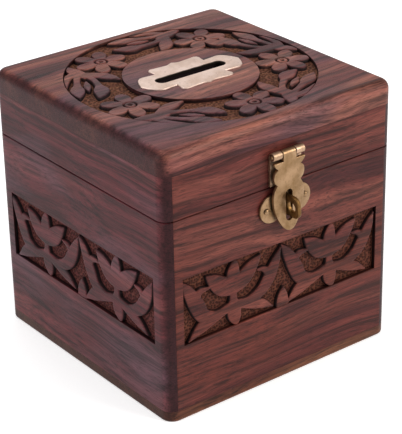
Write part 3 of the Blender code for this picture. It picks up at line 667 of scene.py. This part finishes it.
def hinge_mortises(part):
    """Room for the two hinge leaves of the body or of the lid, in the back board's rim."""
    made = []
    for side in ("left", "right"):
        low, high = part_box(f"hinge_{side}_{part}_leaf")
        inner = (low.x - GLUE, low.y - GLUE)
        outer = (high.x + GLUE, HALF_Y + MM)
        if part == "body":
            span = (BODY_TOP - SHEET - GLUE, BODY_TOP + MM)
        else:
            span = (LID_LOW - MM, LID_LOW + SHEET + GLUE)
        made.append(block((*inner, span[0]), (*outer, span[1])))
    return made


def build_boards():
    for side, turn, half_length, face, plan in SIDES:
        slot = "front_wood" if side in ("front", "back") else "side_wood"
        holes = {"body": (), "lid": ()}
        if side == "back":
            holes = {part: hinge_mortises(part) for part in holes}
        common = (side, turn, half_length, face, plan)
        frame_board(*common, BASE + GLUE, BODY_TOP, f"{side}_wall", "box", slot, holes["body"])
        frame_board(*common, LID_LOW, HEIGHT - TOP - GLUE, f"lid_{side}_rail", "lid", slot, holes["lid"])

    base = prism(rounded_rectangle(HALF_X, HALF_Y, CORNER_R), 0, BASE)
    soften(base, [e for e in base.edges if all(v.co.z < BASE / 2 for v in e.verts)], BASE_EASE)
    finished("bottom_board", base, "box", wood["base"], ["base_board"], smooth=20)


def spread(outline, distance):
    """A closed outline moved outwards by a distance, corners mitred; it runs anticlockwise."""
    made = []
    for i, point in enumerate(outline):
        before, here, after = Vector(outline[i - 1]), Vector(point), Vector(outline[(i + 1) % len(outline)])
        way_in, way_out = (here - before).normalized(), (after - here).normalized()
        normal_in = Vector((way_in.y, -way_in.x))
        normal_out = Vector((way_out.y, -way_out.x))
        mitre = (normal_in + normal_out).normalized()
        made.append(tuple(here + mitre * distance / max(mitre.dot(normal_in), 0.5)))
    return made


PLATE_X = 0.0215
PLATE_Y = 0.0116
PLATE_QUARTER = [
    (1.0, 0.0), (0.95, 0.24), (0.88, 0.46), (0.82, 0.55), (0.76, 0.58), (0.62, 0.55), (0.49, 0.54),
    (0.5, 0.68), (0.515, 0.80), (0.50, 0.90), (0.45, 0.955), (0.30, 0.925), (0.12, 0.90), (0.06, 0.93),
    (0.0, 1.0),
]


def plate_outline():
    """The coin plate's scrolled outline, running anticlockwise."""
    right_half = [(x, -y) for x, y in reversed(PLATE_QUARTER[:-1])][:-1] + PLATE_QUARTER
    left_half = [(-x, -y) for x, y in right_half[1:-1]]
    lowest = [(0.0, -1.0)]
    return [(x * PLATE_X, y * PLATE_Y) for x, y in lowest + right_half + left_half]


def build_lid_top():
    low = HEIGHT - TOP
    board = prism(rounded_rectangle(HALF_X, HALF_Y, CORNER_R), low, HEIGHT)
    upper = [edge for edge in board.edges if all(vert.co.z > low + TOP / 2 for vert in edge.verts)]
    soften(board, upper, TOP_R, 8)
    to_top = Matrix.Translation((0, 0, HEIGHT))
    plate_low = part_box("coin_slot_plate")[0].z - HEIGHT
    seat = prism(spread(plate_outline(), GLUE), plate_low, MM)
    hole = prism(stadium(SLOT_L + 2 * SLOT_EASE, SLOT_W + 2 * SLOT_EASE), -TOP - MM, MM)
    corners = [(RING_IN, -SOCKET), (RING_OUT, -SOCKET), (RING_OUT, MM), (RING_IN, MM)]
    groove = turned(corners, steps=180, closed=True)
    board = combined(board, cut=[moved(tool, to_top) for tool in (groove, seat, hole)])
    layer = board.verts.layers.float.new("carved")
    for vert in board.verts:
        # painted shade on the floor and walls of the ring's groove
        in_ring = math.hypot(vert.co.x, vert.co.y) < RING_OUT + GLUE
        if in_ring and low + GLUE < vert.co.z < HEIGHT - SOCKET + GLUE:
            vert[layer] = RECESS_PAINTED_SHADE
        # painted shade on the wood inside the coin slot
        in_slot = abs(vert.co.y) < SLOT_W and abs(vert.co.x) < SLOT_L
        if in_slot and low + GLUE < vert.co.z < HEIGHT - GLUE:
            vert[layer] = SLOT_PAINTED_SHADE
    finished("lid_board", board, "lid", wood["top_carved"], ["lid_top_board"], smooth=20)
    ring = moved(carved_ring(seed=5), to_top)
    finished("lid_carved_ring", ring, "lid", wood["top_carved"], smooth=180)


# ---- brass fittings ----

GAP = 0.0003  # clearance between pieces that move
HASP_T = 0.001
KNUCKLE_R = 0.0015
BORE_R = 0.0009
PIN_R = 0.0007
HASP_MID = 0.0055  # length of the hasp plate's own knuckle
TANG = 0.0017
RIM = 0.0003  # rounding of a sheet's cut edge
HASP_SLOT_TOP = 0.0129  # pin to the top of the slot
HASP_SLOT_L = 0.0116
HASP_SLOT_W = 0.003
TIP_BEND = 0.0006  # the tip of the plate leans out by this much
SLOT_SINK = 0.0004  # and its middle is pressed in by this much
STAPLE_TILT = math.radians(5.5)
STAPLE_LOBE_R = 0.0051
STAPLE_LOBE_X = 0.006
WAIST = 0.0043  # half height of the staple plate between its lobes
EYE_T = 0.0015
EYE_H = 0.008
EYE_OUT = 0.0081
EYE_ROOT = 0.003
EYE_CORNER_R = 0.0026
EYE_HOLE_R = 0.0019
EYE_HOLE_IN = 0.0036
NAIL_R = 0.0005
NAIL_HEAD_R = 0.0011
NAIL_HEAD_H = 0.0006
NAIL_DOME = ((1, 0), (0.97, 0.35), (0.75, 0.78), (0.38, 0.97), (0, 1))  # shares of the head
ROUND_STEPS = 20  # facets round a nail or a screw
SCREW_HEAD_R = 0.0014
SCREW_R = 0.0008
SCREW_L = 0.006
DRIVER_SLOT = 0.00035
HINGE_MID = 0.0034  # half length of the knuckle on a hinge's lid leaf

# Right edge of the hasp plate, lobe by lobe, in millimetres from the pin's middle.
HASP_LOBES = (
    [(6.7, -2.1), (6.65, -2.7), (6.0, -3.7), (5.0, -4.7)],
    [(5.0, -4.7), (6.15, -5.7), (6.6, -7.5), (6.2, -9.3), (5.05, -10.5)],
    [
        (5.05, -10.5), (6.2, -12.4), (6.7, -15.2), (6.4, -18.6), (5.5, -21.6), (4.2, -24.4),
        (2.9, -26.3), (1.5, -27.5), (0.0, -27.9),
    ],
)


def sheet_piece(outline, thickness, rim=RIM):
    """A flat sheet with its outline in X and Y and its face at height 0, the face's edge rounded over."""
    bm = prism(outline, -thickness, 0)
    soften(bm, [edge for edge in bm.edges if all(vert.co.z > -thickness / 2 for vert in edge.verts)], rim)
    return bm


def upright(bm):
    """Turns a shape drawn in X and Y to stand in X and Z, its face to -Y."""
    return moved(bm, Matrix.Rotation(math.pi / 2, 4, "X"))


def rolled(leaf, spans, centre, tang_low, tang_high):
    """A leaf with a barrel over each span of X, rolled round the line at centre."""
    barrels = [rod((low, *centre), (high, *centre), KNUCKLE_R, RIM / 2) for low, high in spans]
    tangs = [block((low, *tang_low), (high, *tang_high)) for low, high in spans]
    reach = (min(low for low, high in spans) - MM, max(high for low, high in spans) + MM)
    bore = rod((reach[0], *centre), (reach[1], *centre), BORE_R)
    return combined(leaf, join=barrels + tangs, cut=[bore])


def hasp_edge():
    """The hasp plate's outline round a pin at the origin, running anticlockwise."""
    right = [(0.0, 0.0)]
    for lobe in HASP_LOBES:
        line = smooth_line([(*point, 0.0) for point in lobe], 4)
        right += [tuple(point[:2] * MM) for point in line[(1 if len(right) > 1 else 0):]]
    right = right[1:]
    left = [(-x, y) for x, y in right[:-1]]
    return left + right[::-1]


def build_hasp():
    low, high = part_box("hasp_leaf")
    pin_low, pin_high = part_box("hasp_pin")
    plate_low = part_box("hasp_plate")[0]
    middle, centre = (low.x + high.x) / 2, ((pin_low.y + pin_high.y) / 2, (pin_low.z + pin_high.z) / 2)
    back, front = centre[0] + KNUCKLE_R, centre[0] - KNUCKLE_R
    below = centre[1] - KNUCKLE_R - GAP
    inner = HASP_MID / 2

    spans = [(low.x, middle - inner - GAP), (middle + inner + GAP, high.x)]
    leaf = block((low.x, back - SHEET, low.z), (high.x, back, below))
    leaf = rolled(leaf, spans, centre, (back - SHEET, below - GAP), (back, centre[1]))
    finished("hasp_fixed_leaf", leaf, "lid", highlit_leaf_brass, ["hasp_leaf"])

    plate = upright(sheet_piece(hasp_edge(), HASP_T))
    moved(plate, Matrix.Translation((middle, front, centre[1])))
    slot = prism(stadium(HASP_SLOT_L, HASP_SLOT_W), -MM - HASP_T, MM)
    upright(moved(slot, Matrix.Rotation(math.pi / 2, 4, "Z")))
    slot_z = centre[1] - HASP_SLOT_TOP - HASP_SLOT_L / 2
    moved(slot, Matrix.Translation((middle, front, slot_z)))
    plate = combined(plate, cut=[slot])
    tang_low = (front, below - TANG)
    plate = rolled(plate, [(middle - inner, middle + inner)], centre, tang_low, (front + HASP_T, centre[1]))
    bend_from = slot_z - HASP_SLOT_L / 4
    for vert in plate.verts:
        past = max(0.0, (bend_from - vert.co.z) / (bend_from - plate_low.z))
        down = min(1.0, max(0.0, (below - TANG - vert.co.z) / (below - TANG - plate_low.z)))
        vert.co.y += SLOT_SINK * math.sin(math.pi * down) - TIP_BEND * past**2
    finished("hasp_swinging_plate", plate, "hasp", hasp_brass, ["hasp_plate"])

    pin = rod((pin_low.x, *centre), (pin_high.x, *centre), PIN_R, RIM)
    finished("hasp_hinge_pin", pin, "lid", hasp_brass, ["hasp_pin"])


def domed_nail(length):
    """A nail along Z, point down, the underside of its head at height 0."""
    shank = [(0, -length), (NAIL_R * 0.5, -length + NAIL_R), (NAIL_R, -length + 3 * NAIL_R), (NAIL_R, 0)]
    dome = [(NAIL_HEAD_R * out, NAIL_HEAD_H * up) for out, up in NAIL_DOME]
    return turned(shank + dome, ROUND_STEPS)


def build_nails():
    for node, body, finish in (
        ("hasp_leaf_nail_left", "lid", highlit_leaf_brass), ("hasp_leaf_nail_right", "lid", highlit_leaf_brass),
        ("staple_nail_left", "box", hasp_brass), ("staple_nail_right", "box", hasp_brass),
    ):
        low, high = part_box(node)
        x, z, seat = (low.x + high.x) / 2, (low.z + high.z) / 2, low.y + NAIL_HEAD_H
        nail = moved(upright(domed_nail(high.y - seat)), Matrix.Translation((x, seat, z)))
        finished(f"domed_{node}", nail, body, finish, [node])


def build_staple():
    low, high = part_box("staple_plate")
    place = Matrix.Translation(((low.x + high.x) / 2, -HALF_Y - GAP, (low.z + high.z) / 2))
    place = place @ Matrix.Rotation(-STAPLE_TILT, 4, "Y")
    lobes = arc((STAPLE_LOBE_X, 0), STAPLE_LOBE_R, -112, 112, 22) + [(0, WAIST)]
    lobes += arc((-STAPLE_LOBE_X, 0), STAPLE_LOBE_R, 68, 292, 22) + [(0, -WAIST)]
    plate = upright(moved(sheet_piece(lobes, SHEET), Matrix.Translation((0, 0, SHEET))))
    half_t, half_h = EYE_T / 2 + GLUE, EYE_H / 2 + GLUE
    window = block((-half_t, -SHEET - MM, -half_h), (half_t, MM, half_h))
    plate = combined(plate, cut=[window])
    finished("staple_back_plate", moved(plate, place), "box", hasp_brass, ["staple_plate"])

    reach = EYE_OUT - EYE_CORNER_R
    corner = EYE_H / 2 - EYE_CORNER_R
    profile = arc((-reach, corner), EYE_CORNER_R, 90, 180, 8)
    profile += arc((-reach, -corner), EYE_CORNER_R, 180, 270, 8)
    profile += [(EYE_ROOT, -EYE_H / 2), (EYE_ROOT, EYE_H / 2)]
    stand = Matrix(((0, 0, 1, 0), (1, 0, 0, 0), (0, 1, 0, 0), (0, 0, 0, 1)))
    eye = prism(profile, -EYE_T / 2, EYE_T / 2)
    hole_y = EYE_HOLE_IN - EYE_OUT
    eye = combined(eye, cut=[rod((hole_y, 0, -MM), (hole_y, 0, MM), EYE_HOLE_R)])
    level = [edge for edge in eye.edges if abs(edge.verts[0].co.z - edge.verts[1].co.z) < GLUE]
    rims = [edge for edge in level if edge.calc_face_angle(0) > 1]
    soften(eye, rims, RIM)
    finished("staple_loop", moved(eye, place @ stand), "box", shaded_loop_brass, ["staple_eye"])


def driven_screw(way):
    """A countersunk screw along Z with its head's face at height 0, driven towards way."""
    head = [(0, 0), (SCREW_HEAD_R * 0.96, 0), (SCREW_HEAD_R, -RIM / 2)]
    shank = [(SCREW_R, -SHEET), (SCREW_R, -SCREW_L * 0.7), (0, -SCREW_L)]
    screw = turned(head + shank, ROUND_STEPS)
    past_head = SCREW_HEAD_R * 2
    notch = block((-past_head, -DRIVER_SLOT / 2, -DRIVER_SLOT), (past_head, DRIVER_SLOT / 2, MM))
    turn = Matrix.Rotation(math.radians(31), 4, "Z")
    screw = moved(combined(screw, cut=[notch]), turn)
    return screw if way < 0 else moved(screw, Matrix.Rotation(math.pi, 4, "X"))


def build_hinges():
    for side in ("left", "right"):
        pin_low, pin_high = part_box(f"hinge_{side}_pin")
        centre = ((pin_low.y + pin_high.y) / 2, (pin_low.z + pin_high.z) / 2)
        middle = (pin_low.x + pin_high.x) / 2
        reach = (pin_high.x - pin_low.x) / 2 - GAP
        left_end, right_end = middle - HINGE_MID, middle + HINGE_MID
        sets = {
            "body": (-1, [(middle - reach, left_end - GAP), (right_end + GAP, middle + reach)]),
            "lid": (1, [(left_end, right_end)]),
        }
        for part, (way, spans) in sets.items():
            low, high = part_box(f"hinge_{side}_{part}_leaf")
            face = BODY_TOP if part == "body" else LID_LOW
            bottom, top = sorted((face, face + way * SHEET))
            near = centre[0] - KNUCKLE_R - GAP
            leaf = block((low.x, low.y, bottom), (high.x, near, top))
            leaf = rolled(leaf, spans, centre, (near - GAP, bottom), (centre[0], top))
            body = "box" if part == "body" else "lid"
            sinks = []
            for end in ("left", "right"):
                node = f"hinge_{side}_{part}_screw_{end}"
                s_low, s_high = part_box(node)
                spot = Matrix.Translation(((s_low.x + s_high.x) / 2, (s_low.y + s_high.y) / 2, face))
                cone = [(0, MM), (SCREW_HEAD_R * 1.9, MM), (SCREW_R, -SHEET), (SCREW_R, -MM), (0, -MM)]
                sink = turned(cone, ROUND_STEPS)
                if way > 0:
                    moved(sink, Matrix.Rotation(math.pi, 4, "X"))
                sinks.append(moved(sink, spot))
                screw = moved(driven_screw(way), spot)
                finished(f"slotted_{node}", screw, body, hasp_brass, [node])
            leaf = combined(leaf, cut=sinks)
            name = f"{side}_hinge_{part}_leaf"
            finished(name, leaf, body, hasp_brass, [f"hinge_{side}_{part}_leaf"])
        pin = rod((pin_low.x, *centre), (pin_high.x, *centre), PIN_R, RIM)
        finished(f"{side}_hinge_pin", pin, "box", hasp_brass, [f"hinge_{side}_pin"])


def coin_slot_outline():
    """The slot through the coin plate, its far side cut a little unevenly."""
    ends = stadium(SLOT_L, SLOT_W, 10)
    half = len(ends) // 2
    x, y = ends[half - 1]
    uneven = np.random.default_rng(11)
    far_side = []
    for i in range(1, SLOT_CUTS):
        far_side.append((x * (1 - 2 * i / SLOT_CUTS), y + uneven.uniform(-SLOT_WOBBLE, SLOT_WOBBLE)))
    return ends[:half] + far_side + ends[half:]


def build_coin_plate():
    low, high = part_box("coin_slot_plate")
    plate = sheet_piece(plate_outline(), high.z - low.z)
    hole = prism(coin_slot_outline(), -MM - SHEET, MM)
    to_face = Matrix.Translation((0, 0, high.z))
    plate = combined(moved(plate, to_face), cut=[moved(hole, to_face)])
    # Painted shade on the walls of the slot through the plate
    layer = plate.verts.layers.float.new("carved")
    for vert in plate.verts:
        if vert.co.z < high.z - RIM * 2 and abs(vert.co.x) < SLOT_L / 2 + GLUE and abs(vert.co.y) < SLOT_W:
            vert[layer] = 1.0
    finished("coin_plate", plate, "lid", plate_brass, ["coin_slot_plate"])


build_boards()
build_lid_top()
build_coin_plate()
build_hasp()
build_nails()
build_staple()
build_hinges()

for node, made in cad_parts.items():
    if not made.hide_render:
        made.data.materials.clear()
        made.data.materials.append(steel)

# ---- camera, floor and light ----


AZIMUTH = math.radians(-37.421)
ELEVATION = math.radians(26.298)
ROLL = math.radians(-1.15)
DISTANCE = 0.636198
ACROSS = 0.002701  # camera to the right of the line through the box's middle
BELOW = 0.005494  # and below it
FOCAL_LENGTH = 146.04  # in millimetres


def add_camera():
    """A long lens from the front left, a little above."""
    level = math.cos(ELEVATION)
    back = Vector((math.sin(AZIMUTH) * level, -math.cos(AZIMUTH) * level, math.sin(ELEVATION)))
    right = Vector((math.cos(AZIMUTH), math.sin(AZIMUTH), 0))
    up = back.cross(right)
    across = right * math.cos(ROLL) + up * math.sin(ROLL)
    upward = up * math.cos(ROLL) - right * math.sin(ROLL)
    aim = Vector((0, 0, HEIGHT / 2))
    spot = aim + back * DISTANCE + across * ACROSS - upward * BELOW
    camera = bpy.data.objects.new("camera", bpy.data.cameras.new("camera"))
    bpy.context.scene.collection.objects.link(camera)
    camera.matrix_world = Matrix.Translation(spot) @ Matrix((across, upward, back)).transposed().to_4x4()
    camera.data.lens = FOCAL_LENGTH
    camera.data.sensor_width = 36.0
    camera.data.clip_start = 0.01
    bpy.context.scene.camera = camera


def add_floor():
    bm = bmesh.new()
    bmesh.ops.create_grid(bm, x_segments=1, y_segments=1, size=2.0)
    mesh = bpy.data.meshes.new("floor")
    bm.to_mesh(mesh)
    bm.free()
    floor = bpy.data.objects.new("floor", mesh)
    bpy.context.scene.collection.objects.link(floor)
    paper = bpy.data.materials.new("white_paper")
    paper.use_nodes = True
    paper.node_tree.nodes["Principled BSDF"].inputs["Base Color"].default_value = (0.9, 0.9, 0.9, 1.0)
    paper.node_tree.nodes["Principled BSDF"].inputs["Roughness"].default_value = 0.9
    paper.node_tree.nodes["Principled BSDF"].inputs["Emission Color"].default_value = (1.0, 1.0, 1.0, 1.0)
    paper.node_tree.nodes["Principled BSDF"].inputs["Emission Strength"].default_value = 0.42
    mesh.materials.append(paper)


def add_light(name, spot, power, size, colour):
    lamp = bpy.data.lights.new(name, "AREA")
    lamp.energy = power
    lamp.size = size
    lamp.color = colour
    made = bpy.data.objects.new(name, lamp)
    bpy.context.scene.collection.objects.link(made)
    made.location = spot
    made.rotation_euler = (Vector((0, 0, HEIGHT / 2)) - Vector(spot)).to_track_quat("-Z", "Y").to_euler()


def add_world(strength):
    world = bpy.data.worlds.new("studio")
    world.use_nodes = True
    world.node_tree.nodes["Background"].inputs["Color"].default_value = (1.0, 1.0, 1.0, 1.0)
    world.node_tree.nodes["Background"].inputs["Strength"].default_value = strength
    bpy.context.scene.world = world


add_camera()
add_floor()
add_world(0.38)
add_light("key", (0.50, -0.80, 0.62), 7.2, 0.5, (1.0, 0.97, 0.93))
add_light("fill", (-0.95, 0.25, 0.50), 4.6, 0.6, (0.97, 0.97, 1.0))
add_light("overhead", (-0.1, 0.0, 1.1), 3.6, 0.8, (1.0, 0.99, 0.97))
add_light("back", (0.45, 0.85, 0.62), 1.6, 0.9, (1.0, 1.0, 1.0))
bpy.context.scene.view_settings.view_transform = "Standard"
